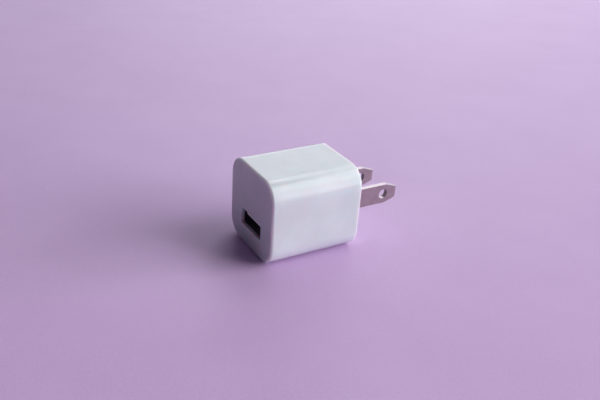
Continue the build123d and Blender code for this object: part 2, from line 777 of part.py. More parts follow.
save(chips(seat_on(input_top, rear_chip_x, 0), 3, chip_height), "chip_resistors")
save(
    chips(seat_on(input_bottom, rear_chip_x, 0, up=(0, 0, -1)), 2, capacitor_chip_height),
    "chip_capacitors",
)
save(chips(seat_on(output_bottom, disc_x, 0, up=(0, 0, -1)), 4, chip_height), "port_resistors")

# ================================================================== insulating sheet on the receptacle
with BuildPart() as insulating_sheet:
    with BuildSketch(Plane.XY.offset(port_z + shell_height / 2)):
        with Locations(((shell_front + shell_pocket + shell_rear) / 2, 0)):
            Rectangle(shell_length - shell_pocket, shell_width + 2 * sheet_overhang)
    extrude(amount=sheet_thickness)
save(insulating_sheet.part, "insulating_sheet")
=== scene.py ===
# %% [markdown]
# # A small cube charger, dressed in Blender
#
# The real thing is a USB wall charger: a moulded white cube with two flat blades on one face and a USB-A port in the
# opposite one. Its solids come in as a fixed frame with their true shapes and places, in metres, and all but the
# receptacle's tongue are used as they are. What is left for Blender is the finish of each surface, the table, the
# light and the camera. The box of the solids is taken at the start, and the table is set just under it.

# %% Load the frame
import math

import bmesh
import bpy
from mathutils import Matrix, Vector


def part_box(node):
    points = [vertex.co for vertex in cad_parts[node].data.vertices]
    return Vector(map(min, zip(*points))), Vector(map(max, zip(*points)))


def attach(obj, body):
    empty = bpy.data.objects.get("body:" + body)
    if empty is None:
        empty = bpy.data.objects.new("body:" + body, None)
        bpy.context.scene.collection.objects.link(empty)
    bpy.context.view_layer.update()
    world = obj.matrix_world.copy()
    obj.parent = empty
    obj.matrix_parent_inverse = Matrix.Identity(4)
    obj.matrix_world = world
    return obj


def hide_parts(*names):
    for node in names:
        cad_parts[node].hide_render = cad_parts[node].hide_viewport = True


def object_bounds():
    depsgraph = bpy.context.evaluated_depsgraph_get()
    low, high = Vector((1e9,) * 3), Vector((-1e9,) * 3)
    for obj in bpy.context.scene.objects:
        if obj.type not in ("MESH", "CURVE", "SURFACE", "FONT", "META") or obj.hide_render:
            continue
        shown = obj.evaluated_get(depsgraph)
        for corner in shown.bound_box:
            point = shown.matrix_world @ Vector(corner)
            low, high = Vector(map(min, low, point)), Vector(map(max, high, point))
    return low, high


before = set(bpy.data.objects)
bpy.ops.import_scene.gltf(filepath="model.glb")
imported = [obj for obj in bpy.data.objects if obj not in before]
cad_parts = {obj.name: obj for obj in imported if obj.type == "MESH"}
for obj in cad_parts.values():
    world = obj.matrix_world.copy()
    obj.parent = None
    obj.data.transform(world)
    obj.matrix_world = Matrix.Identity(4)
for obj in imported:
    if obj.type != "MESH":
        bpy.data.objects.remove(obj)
solids_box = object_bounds()
MM = 0.001

size = [round((high - low) / MM, 1) for low, high in zip(*solids_box)]
print(len(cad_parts), "pieces, together", size, "mm")

# %% [markdown]
# ## The camera
#
# A small object is best seen from a little above and to one side, so that three faces show and the blades stand clear
# of the case. The camera is placed by an azimuth, an elevation and a distance from the point it looks at, which is
# easier to judge than coordinates, and it leans a few degrees, as a camera held in the hand does.

# %% Camera
AZIMUTH = math.radians(-31.95)
ELEVATION = math.radians(27.81)
LEAN = math.radians(4.07)
DISTANCE = 226.7 * MM
LOOK_AT = Vector((-10.3, 4.55, -3.0)) * MM
FOCAL_LENGTH = 43.1
NEAREST_SEEN = 10 * MM


def direction(azimuth, elevation):
    """The way from the charger towards something seen at these angles, as a vector of length 1."""
    level = math.cos(elevation)
    return Vector((math.sin(azimuth) * level, -math.cos(azimuth) * level, math.sin(elevation)))


towards_camera = direction(AZIMUTH, ELEVATION)
lens = bpy.data.cameras.new("camera")
lens.lens = FOCAL_LENGTH
lens.clip_start = NEAREST_SEEN
camera = bpy.data.objects.new("camera", lens)
upright = towards_camera.to_track_quat("Z", "Y").to_matrix().to_4x4()
camera.matrix_world = (
    Matrix.Translation(LOOK_AT + towards_camera * DISTANCE) @ upright @ Matrix.Rotation(LEAN, 4, "Z")
)
bpy.context.collection.objects.link(camera)
bpy.context.scene.camera = camera
bpy.context.scene.view_settings.view_transform = "Standard"
print("camera at", [round(value / MM) for value in camera.matrix_world.translation], "mm")

# %% [markdown]
# ## Shader maths written as Python
#
# A material is a tree of nodes, and much of that tree is arithmetic on masks. This class stands for one output socket.
# Adding, multiplying or comparing it adds the Math node for that, so a mask reads as a formula. Every other node comes
# from one method, which sets the node's own settings first, because they decide which sockets it has.


# %% One socket, with arithmetic
class Signal:
    """An output socket in a node tree."""

    def __init__(self, tree, socket=None):
        self.tree = tree
        self.socket = socket

    def node(self, kind, settings=None, sockets=None, output=0):
        """Add a node: first its settings, then the values or signals of its sockets."""
        node = self.tree.nodes.new("ShaderNode" + kind)
        for name, setting in (settings or {}).items():
            if name == "stops":
                set_stops(node.color_ramp, setting)
            else:
                setattr(node, name, setting)
        for name, value in (sockets or {}).items():
            connect(value, node.inputs[name])
        return Signal(self.tree, node.outputs[output])

    def maths(self, operation, *values):
        return self.node("Math", {"operation": operation}, dict(enumerate(values)))

    def __add__(self, other):
        return self.maths("ADD", self, other)

    def __sub__(self, other):
        return self.maths("SUBTRACT", self, other)

    def __rsub__(self, other):
        return self.maths("SUBTRACT", other, self)

    def __mul__(self, other):
        return self.maths("MULTIPLY", self, other)

    def __truediv__(self, other):
        return self.maths("DIVIDE", self, other)

    def __abs__(self):
        return self.maths("ABSOLUTE", self)

    __radd__ = __add__
    __rmul__ = __mul__


def connect(value, socket):
    """Give a socket a signal or a plain value."""
    if isinstance(value, Signal):
        value.tree.links.new(value.socket, socket)
    else:
        socket.default_value = value


def set_stops(ramp, stops):
    """Give a colour ramp its stops, each a place and a colour."""
    while len(ramp.elements) < len(stops):
        ramp.elements.new(1.0)
    for element, (place, colour) in zip(ramp.elements, stops):
        element.position = place
        element.color = colour


# %% [markdown]
# ## Words for the finishes
#
# The finishes below share a few words. A step is a soft edge between two values, a tint is a mix of two colours, and
# grain is fractal noise. Colours are written as the levels that a screen shows, from 0 to 255, and turned to the
# linear light that a shader needs. All lengths on a surface are in millimetres, read from Object coordinates.


# %% Steps, tints and grain
def shade(red, green, blue):
    """A colour from screen levels."""
    levels = [level / 255 for level in (red, green, blue)]
    linear = [level / 12.92 if level <= 0.04045 else ((level + 0.055) / 1.055) ** 2.4 for level in levels]
    return (*linear, 1.0)


def step(value, start, end):
    """A mask that rises smoothly from 0 at start to 1 at end. With end below start it falls."""
    sockets = {"Value": value, "From Min": start, "From Max": end}
    return value.node("MapRange", {"interpolation_type": "SMOOTHSTEP"}, sockets)


def tint(mask, first, second):
    """The first colour where the mask is 0 and the second where it is 1."""
    return mask.node("Mix", {"data_type": "RGBA"}, {0: mask, 6: first, 7: second}, output=2)


def grain(place, per_mm, detail=3.0, rough=0.5, stretch=(1, 1, 1)):
    """Fractal noise about 0.5, with this many features in a millimetre before it is stretched."""
    turned = place.node("Mapping", None, {"Vector": place, "Scale": [per_mm * factor for factor in stretch]})
    return place.node("TexNoise", None, {"Vector": turned, "Scale": 1.0, "Detail": detail, "Roughness": rough})


def coordinates(place):
    """The x, y and z of a place, as three signals."""
    node = place.node("SeparateXYZ", None, {0: place}).socket.node
    return [Signal(place.tree, output) for output in node.outputs]


def finish(name):
    """A new material. Returns it with its surface place, in millimetres."""
    material = bpy.data.materials.new(name)
    material.use_nodes = True
    start = Signal(material.node_tree)
    place = start.node("TexCoord", output="Object")
    scaled = place.node("VectorMath", {"operation": "SCALE"}, {0: place, "Scale": 1 / MM})
    return material, scaled


def apply(material, relief=None, relief_mm=0.01, **sockets):
    """Feed the shader of a material. Relief is a height from 0 to 1, given its depth in millimetres."""
    shader = material.node_tree.nodes["Principled BSDF"]
    if relief is not None:
        bump = relief.node("Bump", None, {"Height": relief, "Distance": relief_mm * MM})
        sockets["Normal"] = bump
    for name, value in sockets.items():
        connect(value, shader.inputs[name.replace("_", " ")])


def dress(material, *nodes):
    """Put a material on frame nodes."""
    for node in nodes:
        for material_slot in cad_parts[node].material_slots:
            material_slot.material = material
    print(material.name, "on", ", ".join(nodes))


# %% [markdown]
# ## The table
#
# The charger lies on a round of lilac card. Card isn't a flat colour: its fibres give it a fine speckle, and its pulp
# is a little cloudy. One large disc does, just under the charger, and both scales of the pattern are noise. The fibres
# that stand up from the card catch the light when it is seen flat along, which is what the pale sheen is for.

# %% Table
TABLE_RADIUS = 550 * MM
TABLE_SIDES = 128
TABLE_GAP = 0.01 * MM
FIBRE_SHARE = 0.55


def table_finish():
    material, place = finish("lilac_card")
    fibres = grain(place, 2.2, detail=2.0, rough=0.7)
    clouds = grain(place, 0.035, detail=2.0)
    tone = step(fibres * FIBRE_SHARE + clouds * (1 - FIBRE_SHARE), 0.3, 0.7)
    colour = tint(tone, shade(206, 170, 217), shade(213, 178, 224))
    apply(material, relief=fibres, relief_mm=0.03, Base_Color=colour, Roughness=0.68 - 0.15 * fibres,
          Specular_IOR_Level=0.7, Sheen_Weight=0.25, Sheen_Roughness=0.45, Sheen_Tint=(0.85, 1.0, 0.92, 1.0))
    return material


table_mesh = bpy.data.meshes.new("table")
sheet = bmesh.new()
bmesh.ops.create_circle(sheet, cap_ends=True, segments=TABLE_SIDES, radius=TABLE_RADIUS)
bmesh.ops.translate(sheet, verts=sheet.verts, vec=(0, 0, solids_box[0].z - TABLE_GAP))
sheet.to_mesh(table_mesh)
sheet.free()
table_mesh.materials.append(table_finish())
table = bpy.data.objects.new("table", table_mesh)
bpy.context.collection.objects.link(table)
print("table", round(2 * TABLE_RADIUS, 2), "m across")

# %% [markdown]
# ## Light
#
# The light is soft daylight from one side, as beside a window, so the end with the port stays in shade. Seven panels,
# all two metres away, stand for it. The low window gives the shadow and lights the long side. It is left out of mirror
# images, where a window this bright would be a hard white patch on the glossy top. The tall window and the ceiling
# panels leave pale bands along the rounded edge, the back panel gives the top its sheen, and the overhead panel opens
# up the shadow. Each is placed by angles and lit by its brightness, so a colour renders about as it is written.


# %% Lamps
LAMP_DISTANCE = 2.0


def panel(name, azimuth, elevation, wide, tall, brightness, colour, mirrored=True):
    """A rectangular lamp at these angles from the charger, in degrees, and this many degrees wide and tall."""
    way = direction(math.radians(azimuth), math.radians(elevation))
    lamp = bpy.data.lights.new(name, "AREA")
    lamp.shape = "RECTANGLE"
    lamp.size = 2 * LAMP_DISTANCE * math.tan(math.radians(wide / 2)) * math.cos(math.radians(elevation))
    lamp.size_y = 2 * LAMP_DISTANCE * math.tan(math.radians(tall / 2))
    lamp.color = colour
    lamp.energy = brightness * math.pi * lamp.size * lamp.size_y
    stand = bpy.data.objects.new(name, lamp)
    stand.matrix_world = Matrix.Translation(way * LAMP_DISTANCE) @ way.to_track_quat("Z", "Y").to_matrix().to_4x4()
    stand.visible_camera = False
    stand.visible_glossy = mirrored
    bpy.context.collection.objects.link(stand)
    print(name, round(lamp.size, 2), "by", round(lamp.size_y, 2), "m,", round(lamp.energy, 1), "W")


# azimuth, elevation, width and height in degrees, then brightness and colour
panel("low_window", 58, 16, 46, 26, 9.0, (0.96, 0.94, 1.0), mirrored=False)
panel("tall_window", 32, 18, 16, 36, 2.4, (1.0, 0.97, 0.96))
panel("left_ceiling_panel", 56, 49, 48, 26, 3.2, (0.93, 1.0, 0.98))
panel("middle_ceiling_panel", 98, 54, 34, 14, 2.1, (0.93, 1.0, 0.98))
panel("right_ceiling_panel", 131, 53, 28, 16, 2.9, (0.93, 0.99, 1.0))
panel("back_panel", 145, 24, 40, 48, 1.45, (0.93, 0.96, 1.0))
panel("overhead_panel", 90, 78, 130, 34, 0.25, (0.98, 0.98, 1.0), mirrored=False)

# %% [markdown]
# ## World
#
# The surroundings give almost no light, as in a dim room beside a window. Where the camera looks past the table, and in
# reflections, they show as a pale backdrop, which keeps the background plain without lighting the charger.

# %% World
DIM_ROOM = shade(8, 8, 9)
BACKDROP = shade(203, 187, 222)

world = bpy.data.worlds.new("studio")
world.use_nodes = True
bpy.context.scene.world = world
background = world.node_tree.nodes["Background"]
rays = Signal(world.node_tree).node("LightPath").socket.node
camera_ray, glossy_ray, transmission_ray = [
    Signal(world.node_tree, rays.outputs["Is " + kind + " Ray"]) for kind in ("Camera", "Glossy", "Transmission")
]
seen = camera_ray + glossy_ray + transmission_ray
connect(tint(seen, DIM_ROOM, BACKDROP), background.inputs["Color"])
print("backdrop", [round(level, 3) for level in BACKDROP[:3]], "where it is seen")

# %% [markdown]
# ## White glossy resin
#
# The case is moulded in white polycarbonate in a polished mould. Light travels a few millimetres through the resin
# before it comes out again, which carries some of it round the edges into the shaded faces, so the shader scatters all
# of it below the surface. The gloss is never perfect: the skin has a faint waviness, and handling leaves dull patches
# and hairline scratches.


# %% Case and end cap
RESIN_IOR = 1.53
SCATTER_RADIUS = (1.0, 0.6, 0.66)
SCATTER_SCALE = 3.2 * MM


def resin_finish(name, base_roughness, texture_mm):
    material, place = finish(name)
    waves = grain(place, 0.12, detail=2.0)
    skin = grain(place, 9.0, detail=2.0)
    handling = step(grain(place, 0.35, detail=4.0, rough=0.65), 0.45, 0.75)
    scratches = step(grain(place, 0.5, detail=6.0, rough=0.8, stretch=(0.15, 6.0, 6.0)), 0.70, 0.78)
    colour = tint(step(waves, 0.3, 0.7), shade(215, 220, 223), shade(221, 226, 229))
    roughness = base_roughness + 0.05 * handling + 0.06 * scratches
    apply(material, relief=skin * 0.6 + waves * 0.4 - scratches * 0.3, relief_mm=texture_mm,
          Base_Color=colour, Roughness=roughness, IOR=RESIN_IOR,
          Subsurface_Weight=1.0, Subsurface_Radius=SCATTER_RADIUS, Subsurface_Scale=SCATTER_SCALE)
    return material


dress(resin_finish("polished_white_resin", base_roughness=0.13, texture_mm=0.0012), "housing")
dress(resin_finish("satin_white_resin", base_roughness=0.35, texture_mm=0.006), "end_cap")

# %% [markdown]
# ## Nickel-plated blades
#
# The blades are stamped from brass strip, tumbled and nickel plated. The rolled strip leaves fine lines along the
# blade, and each trip into an outlet adds scuffs near the tip. Long stretched noise gives both, in the roughness, in
# the colour and in a very shallow relief. The edges, where the press sheared the strip, are a little greyer than the
# rolled faces, so the distance across each blade picks them out. The holes' walls are a little rougher, and are
# darkened as painted shade, except at the lower lip, which faces up into the light.


# %% Blades
BLADE_PITCH = 12.7
BLADE_THICKNESS = 1.52
BLADE_HOLE_REACH = 13.1
WEAR_START, WEAR_FULL = 3.0, 17.0
HOLE_ZONE_HALF = 1.7
HOLE_ZONE_END = 15.5
LIP_START, LIP_FULL = -0.6, -1.1
LIP_PAST_MIDDLE = 0.4


def blade_finish():
    material, place = finish("satin_nickel")
    rolling = grain(place, 1.0, detail=5.0, rough=0.7, stretch=(0.12, 5.0, 5.0))
    scuffs = step(grain(place, 1.0, detail=6.0, rough=0.75, stretch=(0.5, 2.5, 2.5)), 0.52, 0.72)
    patches = grain(place, 0.3, detail=2.0)
    x, y, z = coordinates(place)
    used = step(x, WEAR_START, WEAR_FULL)
    wear = scuffs * used
    tone = tint(step(patches, 0.3, 0.7), shade(178, 166, 164), shade(190, 178, 175))
    rolled = tint(wear, tone, shade(200, 192, 188))
    half = BLADE_THICKNESS / 2
    sheared = step(abs(abs(y) - BLADE_PITCH / 2), half - 0.01, half - 0.05)
    lip_end = BLADE_HOLE_REACH + LIP_PAST_MIDDLE
    # The lower lip of each hole faces up into the light, so it is left out of the painted shade.
    wear_and_lit_lip = step(z, LIP_START, LIP_FULL) * step(x, lip_end + 0.7, lip_end)
    hole_zone = step(abs(z), HOLE_ZONE_HALF + 0.2, HOLE_ZONE_HALF)
    # Painted shade: the holes' walls are darkened where they face away from the light.
    hole_wall_painted_shade = sheared * hole_zone * step(x, HOLE_ZONE_END + 0.5, HOLE_ZONE_END) * (1 - wear_and_lit_lip)
    # The last tone is the painted shade of the holes' walls.
    colour = tint(hole_wall_painted_shade, tint(sheared, rolled, shade(176, 170, 168)), shade(122, 112, 114))
    roughness = 0.26 + 0.16 * rolling + 0.10 * wear + 0.10 * hole_wall_painted_shade
    apply(material, relief=rolling, relief_mm=0.004, Base_Color=colour, Roughness=roughness, Metallic=1.0)
    return material


dress(blade_finish(), "line_blade", "neutral_blade")

# %% [markdown]
# ## Bare metals and dark plastics
#
# Inside the case a few plain materials come back again and again: tin on the leads, black epoxy round the chips. Many
# pieces are one solid with two of them, such as a capacitor with its leads, so a skin is kept as three things, a
# colour, a roughness and how metallic it is, and a mask lays one skin over another.


# %% Skins and the mask between them
def tinned(place):
    """Tin that has lost some of its brightness to a grey bloom."""
    bloom = grain(place, 1.5, detail=3.0)
    return tint(bloom, shade(178, 179, 176), shade(208, 209, 206)), 0.24 + 0.18 * bloom, 1.0


def epoxy(place):
    """Black moulding compound, matt from the spark-eroded mould."""
    fleck = grain(place, 6.0, detail=4.0, rough=0.7)
    return tint(step(fleck, 0.4, 0.8), shade(30, 30, 32), shade(48, 48, 51)), 0.48 + 0.2 * fleck, 0.0


def lay_over(material, mask, under, over, relief, relief_mm):
    """Feed the shader with the under skin where the mask is 0 and the over skin where it is 1."""
    colour = tint(mask, under[0], over[0])
    roughness = under[1] + mask * (over[1] - under[1])
    metallic = under[2] + mask * (over[2] - under[2])
    apply(material, relief, relief_mm, Base_Color=colour, Roughness=roughness, Metallic=metallic)


def box_mm(node):
    """The lowest and highest corner of a frame node, in millimetres."""
    return [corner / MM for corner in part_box(node)]


def from_axis(first, second):
    """The distance from an axis, out of the offsets across it."""
    squares = first * first + second * second
    return squares.maths("SQRT", squares)


# %% [markdown]
# ## The receptacle in the port
#
# The port's metal shell is folded from thin nickel-plated steel, so its lines run the way the strip was rolled. Deep
# inside it stays dark, because only light that has bounced several times gets there. The tongue and the block behind it
# are glass-filled nylon: white, with short fibres that show as faint specks.

# %% Metal shell
material, place = finish("plated_steel")
lines = grain(place, 1.0, detail=4.0, rough=0.7, stretch=(0.2, 9.0, 9.0))
stains = grain(place, 0.4, detail=3.0)
steel = tint(stains, shade(96, 96, 102), shade(122, 122, 128))
apply(material, lines, relief_mm=0.003, Base_Color=steel, Roughness=0.24 + 0.16 * lines, Metallic=1.0)
dress(material, "receptacle_shell")

# %% Tongue and block
material, place = finish("glass_filled_nylon")
fibres = grain(place, 3.0, detail=4.0, rough=0.75, stretch=(0.25, 2.0, 2.0))
nylon = tint(step(fibres, 0.45, 0.75), shade(226, 227, 222), shade(204, 205, 199))
apply(material, fibres, relief_mm=0.004, Base_Color=nylon, Roughness=0.36 + 0.2 * fibres)
dress(material, "receptacle_insulator")

# %% [markdown]
# ## The tongue's nose
#
# The tongue reaches almost to the shell's mouth, where its end shows as a pale strip in the port. The frame's solid
# stops a little short of that, so this piece stands for it. It is a copy of the solid's mesh, merged, with only the
# corners of its nose drawn forward, which keeps the contacts' grooves and the block behind as they are.

# %% Nose drawn forward
NOSE_DEPTH = 0.5 * MM
NOSE_FORWARD = 0.6 * MM
tongue_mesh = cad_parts["receptacle_insulator"].data.copy()
moulding = bmesh.new()
moulding.from_mesh(tongue_mesh)
bmesh.ops.remove_doubles(moulding, verts=moulding.verts, dist=0.001 * MM)
tip = min(vert.co.x for vert in moulding.verts)
nose = [vert for vert in moulding.verts if vert.co.x < tip + NOSE_DEPTH]
bmesh.ops.translate(moulding, verts=nose, vec=(-NOSE_FORWARD, 0, 0))
moulding.to_mesh(tongue_mesh)
moulding.free()
tongue = bpy.data.objects.new("tongue_and_block", tongue_mesh)
bpy.context.collection.objects.link(tongue)
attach(tongue, "root")
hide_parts("receptacle_insulator")
print(len(nose), "corners of the tongue's nose moved forward")

# %% [markdown]
# ## Contacts
#
# Each contact is stamped from phosphor bronze and plated twice, with gold where the plug rubs and with tin where it is
# soldered. The platings meet inside the block. The gold is worn in faint streaks that run the way plugs have slid.

# %% Gold in front, tin behind
BLOCK_FRONT = -18.5
material, place = finish("contact_plating")
x, _, _ = coordinates(place)
wear_and_lit_lip = step(grain(place, 2.0, detail=4.0, rough=0.7, stretch=(0.2, 4.0, 4.0)), 0.5, 0.7)
gold = (tint(wear_and_lit_lip, shade(236, 190, 108), shade(218, 174, 104)), 0.22 + 0.14 * wear_and_lit_lip, 1.0)
lay_over(material, step(x, BLOCK_FRONT, BLOCK_FRONT + 0.5), gold, tinned(place), wear_and_lit_lip, relief_mm=0.002)
dress(material, *["receptacle_contact_" + number for number in "1234"])

# %% [markdown]
# ## Strips and rivets
#
# A brass strip joins each blade to the board, held to the blade's tail by a rivet. The rivet is tinned, and so is the
# strip's upper end, so that solder takes. The strip keeps its rolling lines, and the rivet's head shows rings from the
# tool that formed it.

# %% Strips
TIN_START, TIN_FULL = 6.5, 8.5
TIN_RAGGED_MM = 3.0
material, place = finish("tinned_brass")
_, _, z = coordinates(place)
rolled = grain(place, 1.0, detail=4.0, rough=0.7, stretch=(6.0, 6.0, 0.2))
brass = (tint(rolled, shade(188, 172, 128), shade(206, 194, 158)), 0.30 + 0.15 * rolled, 1.0)
lay_over(material, step(z + rolled * TIN_RAGGED_MM, TIN_START, TIN_FULL), brass, tinned(place), rolled, relief_mm=0.004)
dress(material, "line_strip", "neutral_strip")

# %% Rivets
RING_RADIANS_PER_MM = 30.0
low, high = box_mm("strip_rivets")
rivet_x, rivet_z = (low.x + high.x) / 2, (low.z + high.z) / 2
material, place = finish("headed_rivet")
x, _, z = coordinates(place)
rings = from_axis(x - rivet_x, z - rivet_z) * RING_RADIANS_PER_MM
rings = rings.maths("SINE", rings) * 0.5 + 0.5
colour, roughness, metallic = tinned(place)
apply(material, rings, relief_mm=0.006, Base_Color=colour, Roughness=roughness + 0.08 * rings, Metallic=metallic)
dress(material, "strip_rivets")
print("rivets at x", round(rivet_x, 2), "z", round(rivet_z, 2), "mm")

# %% [markdown]
# ## Circuit boards
#
# A board is glass cloth in epoxy, tan at its sawn edges, with green solder mask on both faces. Under the mask copper
# areas show as paler green, with dark gaps between them. A blocky cell pattern stands for them: in the Manhattan
# metric cells have straight and 45 degree borders, as routed copper has.


# %% Boards
CELLS_PER_MM = 0.42
GAP_WIDTH = 0.1
MASK_DEPTH = 0.02


def board_finish(node):
    low, high = box_mm(node)
    middle, half = (low.z + high.z) / 2, (high.z - low.z) / 2
    material, place = finish(node + "_laminate")
    _, _, z = coordinates(place)
    cells = {"voronoi_dimensions": "2D", "distance": "MANHATTAN"}
    near = place.node("TexVoronoi", {**cells, "feature": "F1"}, {"Vector": place, "Scale": CELLS_PER_MM})
    next_near = place.node("TexVoronoi", {**cells, "feature": "F2"}, {"Vector": place, "Scale": CELLS_PER_MM})
    gap = step(next_near - near, GAP_WIDTH + 0.06, GAP_WIDTH)
    cloth = grain(place, 2.5, detail=3.0, stretch=(1.0, 1.0, 0.3))
    copper = tint(cloth, shade(38, 118, 70), shade(46, 128, 78))
    mask_green = tint(gap, copper, shade(16, 74, 44))
    face = step(abs(z - middle), half - MASK_DEPTH - 0.04, half - MASK_DEPTH)
    laminate = tint(step(grain(place, 1.2, detail=3.0, stretch=(1.0, 1.0, 8.0)), 0.35, 0.65),
                    shade(176, 158, 104), shade(200, 184, 132))
    masked = (mask_green, 0.28 + 0.1 * cloth, 0.0)
    lay_over(material, face, (laminate, 0.7, 0.0), masked, cloth - 0.5 * gap, relief_mm=0.02)
    return material


for board in ("input_board", "output_board"):
    dress(board_finish(board), board)

# %% [markdown]
# ## The transformer
#
# The core is ferrite, a fired ceramic: near-black, slightly glittering where it is ground. The bobbin is black
# phenolic, moulded dull. Yellow polyester tape closes the winding, and its free end shows as one edge that runs from
# flange to flange. The wires of the low-voltage winding leave in insulation and are tinned where they pass through
# the board.

# %% Ferrite
material, place = finish("fired_ferrite")
grit = grain(place, 5.0, detail=5.0, rough=0.75)
glint = step(grit, 0.62, 0.72)
ferrite = tint(glint, tint(grit, shade(44, 44, 47), shade(66, 66, 70)), shade(112, 112, 118))
apply(material, grit, relief_mm=0.02, Base_Color=ferrite, Roughness=0.62 - 0.3 * glint)
dress(material, "core_upper", "core_lower")

# %% Bobbin
material, place = finish("black_phenolic")
flow = grain(place, 0.5, detail=3.0)
skin = grain(place, 5.0, detail=3.0)
phenolic = tint(flow, shade(26, 25, 25), shade(42, 40, 39))
apply(material, skin, relief_mm=0.01, Base_Color=phenolic, Roughness=0.34 + 0.2 * skin)
dress(material, "transformer_bobbin")

# %% Winding in tape
TAPE_LAP_MM = 0.42
TAPE_END = 1.2
low, high = box_mm("transformer_winding")
material, place = finish("yellow_tape")
x, _, z = coordinates(place)
turns = (z - low.z) / TAPE_LAP_MM
turns = turns.maths("SINE", turns * 2 * math.pi) * 0.5 + 0.5
crinkle = grain(place, 0.8, detail=4.0)
free_end = step(x - (low.x + high.x) / 2, TAPE_END, TAPE_END + 0.1)
tape = tint(free_end, tint(crinkle, shade(226, 176, 44), shade(238, 194, 66)), shade(214, 160, 34))
apply(material, turns * 0.4 + crinkle * 0.6 - 0.5 * free_end, relief_mm=0.05,
      Base_Color=tape, Roughness=0.30 + 0.12 * crinkle)
dress(material, "transformer_winding")
print("tape from z", round(low.z, 2), "to", round(high.z, 2), "mm")

# %% Pins and low-voltage wires
material, place = finish("tinned_pins")
colour, roughness, metallic = tinned(place)
apply(material, grain(place, 4.0), relief_mm=0.004, Base_Color=colour, Roughness=roughness, Metallic=metallic)
dress(material, "transformer_pins")

BARED_ABOVE_BOARD = 0.1
board_top = box_mm("output_board")[1].z
material, place = finish("wire_insulation")
_, _, z = coordinates(place)
smooth = grain(place, 1.5, detail=2.0)
insulation = (tint(smooth, shade(196, 118, 44), shade(212, 140, 62)), 0.30 + 0.1 * smooth, 0.0)
bared = step(z, board_top + BARED_ABOVE_BOARD + 0.2, board_top + BARED_ABOVE_BOARD)
lay_over(material, bared, insulation, tinned(place), smooth, relief_mm=0.004)
dress(material, "secondary_leads")

# %% [markdown]
# ## Electrolytic capacitors
#
# A large capacitor is an aluminium can in a shrunk plastic sleeve, with a pale stripe on the side of its negative lead.
# The sleeve turns over both rims, so bare metal shows at the free end and the rubber bung at the other. The smaller
# ones have no sleeve: their can is bare, with a coloured arc on the top instead of the stripe.


# %% Large capacitors
CAN_RADIUS = 3.15
CAN_LENGTH = 10.0
SLEEVE_RIM = 0.5
BUNG_RIM = 0.65
STRIPE_EDGE = 0.8


def bulk_finish(node):
    low, high = box_mm(node)
    material, place = finish(node + "_sleeve")
    x, y, z = coordinates(place)
    across, along, up = y - (low.y + high.y) / 2, x - low.x, z - (low.z + CAN_RADIUS)
    from_middle = from_axis(across, up)
    weld = grain(place, 0.8, detail=3.0)
    stripe = step(across, -STRIPE_EDGE * CAN_RADIUS, -(STRIPE_EDGE + 0.06) * CAN_RADIUS)
    sleeve = (tint(stripe, shade(32, 36, 52), shade(196, 200, 206)), 0.26 + 0.12 * weld, 0.0)
    base = (tint(weld, shade(200, 202, 204), shade(216, 218, 220)), 0.32 + 0.1 * weld, 1.0)
    sleeve_edge, bung_edge = CAN_RADIUS - SLEEVE_RIM, CAN_RADIUS - BUNG_RIM
    bared = step(from_middle, sleeve_edge + 0.05, sleeve_edge) * step(along, 0.3, 0.2)
    bung = step(from_middle, bung_edge + 0.05, bung_edge) * step(along, CAN_LENGTH - 0.3, CAN_LENGTH - 0.2)
    leads = step(along, CAN_LENGTH - 0.02, CAN_LENGTH + 0.02)
    end = (tint(bung, base[0], shade(34, 33, 32)), base[1] + 0.3 * bung, base[2] - bung)
    metal = tinned(place)
    ends = (tint(leads, end[0], metal[0]), end[1] + leads * (metal[1] - end[1]), end[2] + leads * (1.0 - end[2]))
    anywhere = bared.maths("MAXIMUM", bared, bung)
    lay_over(material, anywhere.maths("MAXIMUM", anywhere, leads), sleeve, ends, weld, relief_mm=0.02)
    return material


for node in ("bulk_capacitor_1", "bulk_capacitor_2"):
    dress(bulk_finish(node), node)


# %% Small capacitors
SMALL_CAN_HEIGHT = 5.4
ARC_FROM_MIDDLE = 1.3
ARC_BELOW_TOP = 0.1


def small_can_finish(node):
    low, high = box_mm(node)
    seat_z = high.z - SMALL_CAN_HEIGHT
    material, place = finish(node + "_can")
    _, y, z = coordinates(place)
    drawn = grain(place, 1.0, detail=4.0, rough=0.7, stretch=(5.0, 5.0, 0.3))
    off_middle, arc_z = y - (low.y + high.y) / 2, high.z - ARC_BELOW_TOP
    arc = step(off_middle, ARC_FROM_MIDDLE, ARC_FROM_MIDDLE + 0.06) * step(z, arc_z - 0.06, arc_z)
    can = (tint(arc, tint(drawn, shade(196, 198, 200), shade(216, 217, 219)), shade(92, 70, 140)),
           0.28 + 0.12 * drawn + 0.1 * arc, 1.0 - arc)
    lay_over(material, step(z, seat_z, seat_z - 0.02), can, tinned(place), drawn, relief_mm=0.004)
    return material


for node in ("output_capacitor_1", "output_capacitor_2"):
    dress(small_can_finish(node), node)

# %% [markdown]
# ## Resistor, inductor and safety capacitor
#
# The fusible resistor is dipped in a pale green coat, with bands that give its value by colour. The inductor is a drum
# of ferrite with one layer of enamelled copper, so its turns are a sine in relief, with painted shade in the grooves
# between turns. The safety capacitor is a ceramic disc dipped in blue epoxy, which runs a little way down its leads.


# %% Fusible resistor
def band(offset, middle, half):
    """A mask that is 1 within half a width of a place along an axis."""
    return step(abs(offset - middle), half + 0.03, half - 0.03)


COAT_HALF = 3.01
VALUE_BANDS = ((-1.9, (110, 62, 30)), (-1.2, (24, 24, 24)), (-0.5, (24, 24, 24)), (1.9, (196, 160, 70)))
BAND_HALF = 0.2
low, high = box_mm("fusible_resistor")
material, place = finish("resistor_coat")
x, _, _ = coordinates(place)
along = x - (low.x + high.x) / 2
lumps = grain(place, 0.9, detail=3.0)
coat = tint(lumps, shade(96, 140, 120), shade(118, 160, 140))
for offset, ring in VALUE_BANDS:
    coat = tint(band(along, offset, BAND_HALF), coat, shade(*ring))
leads = step(abs(along), COAT_HALF - 0.03, COAT_HALF + 0.03)
lay_over(material, leads, (coat, 0.34 + 0.2 * lumps, 0.0), tinned(place), lumps, relief_mm=0.04)
dress(material, "fusible_resistor")

